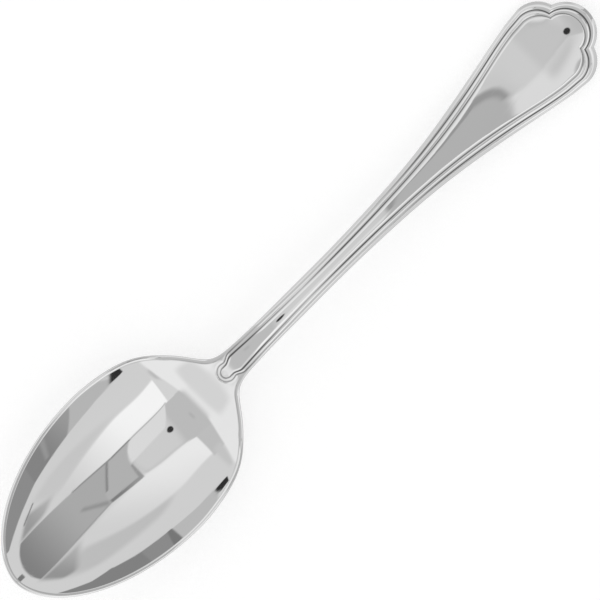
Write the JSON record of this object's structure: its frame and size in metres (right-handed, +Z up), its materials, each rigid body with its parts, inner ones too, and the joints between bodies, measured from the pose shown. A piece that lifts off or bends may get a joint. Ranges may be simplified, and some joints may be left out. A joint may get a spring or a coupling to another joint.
{
  "type": "tablespoon",
  "caption": "One-piece polished steel tablespoon: oval bowl, slender stem and scalloped handle end with a double thread border. Scoops and serves food.",
  "frame": {"origin": "on the table plane, under the middle of the spoon's length and width", "axes": "+X from the bowl's tip to the handle's end, +Y across the spoon, +Z up out of the bowl as it lies at rest"},
  "size_m": [0.205, 0.0464, 0.0172],
  "materials": {
    "polished_steel": "mirror polished stainless steel"
  },
  "bodies": {
    "root": {"tablespoon": "polished_steel"}
  },
  "joints": []
}
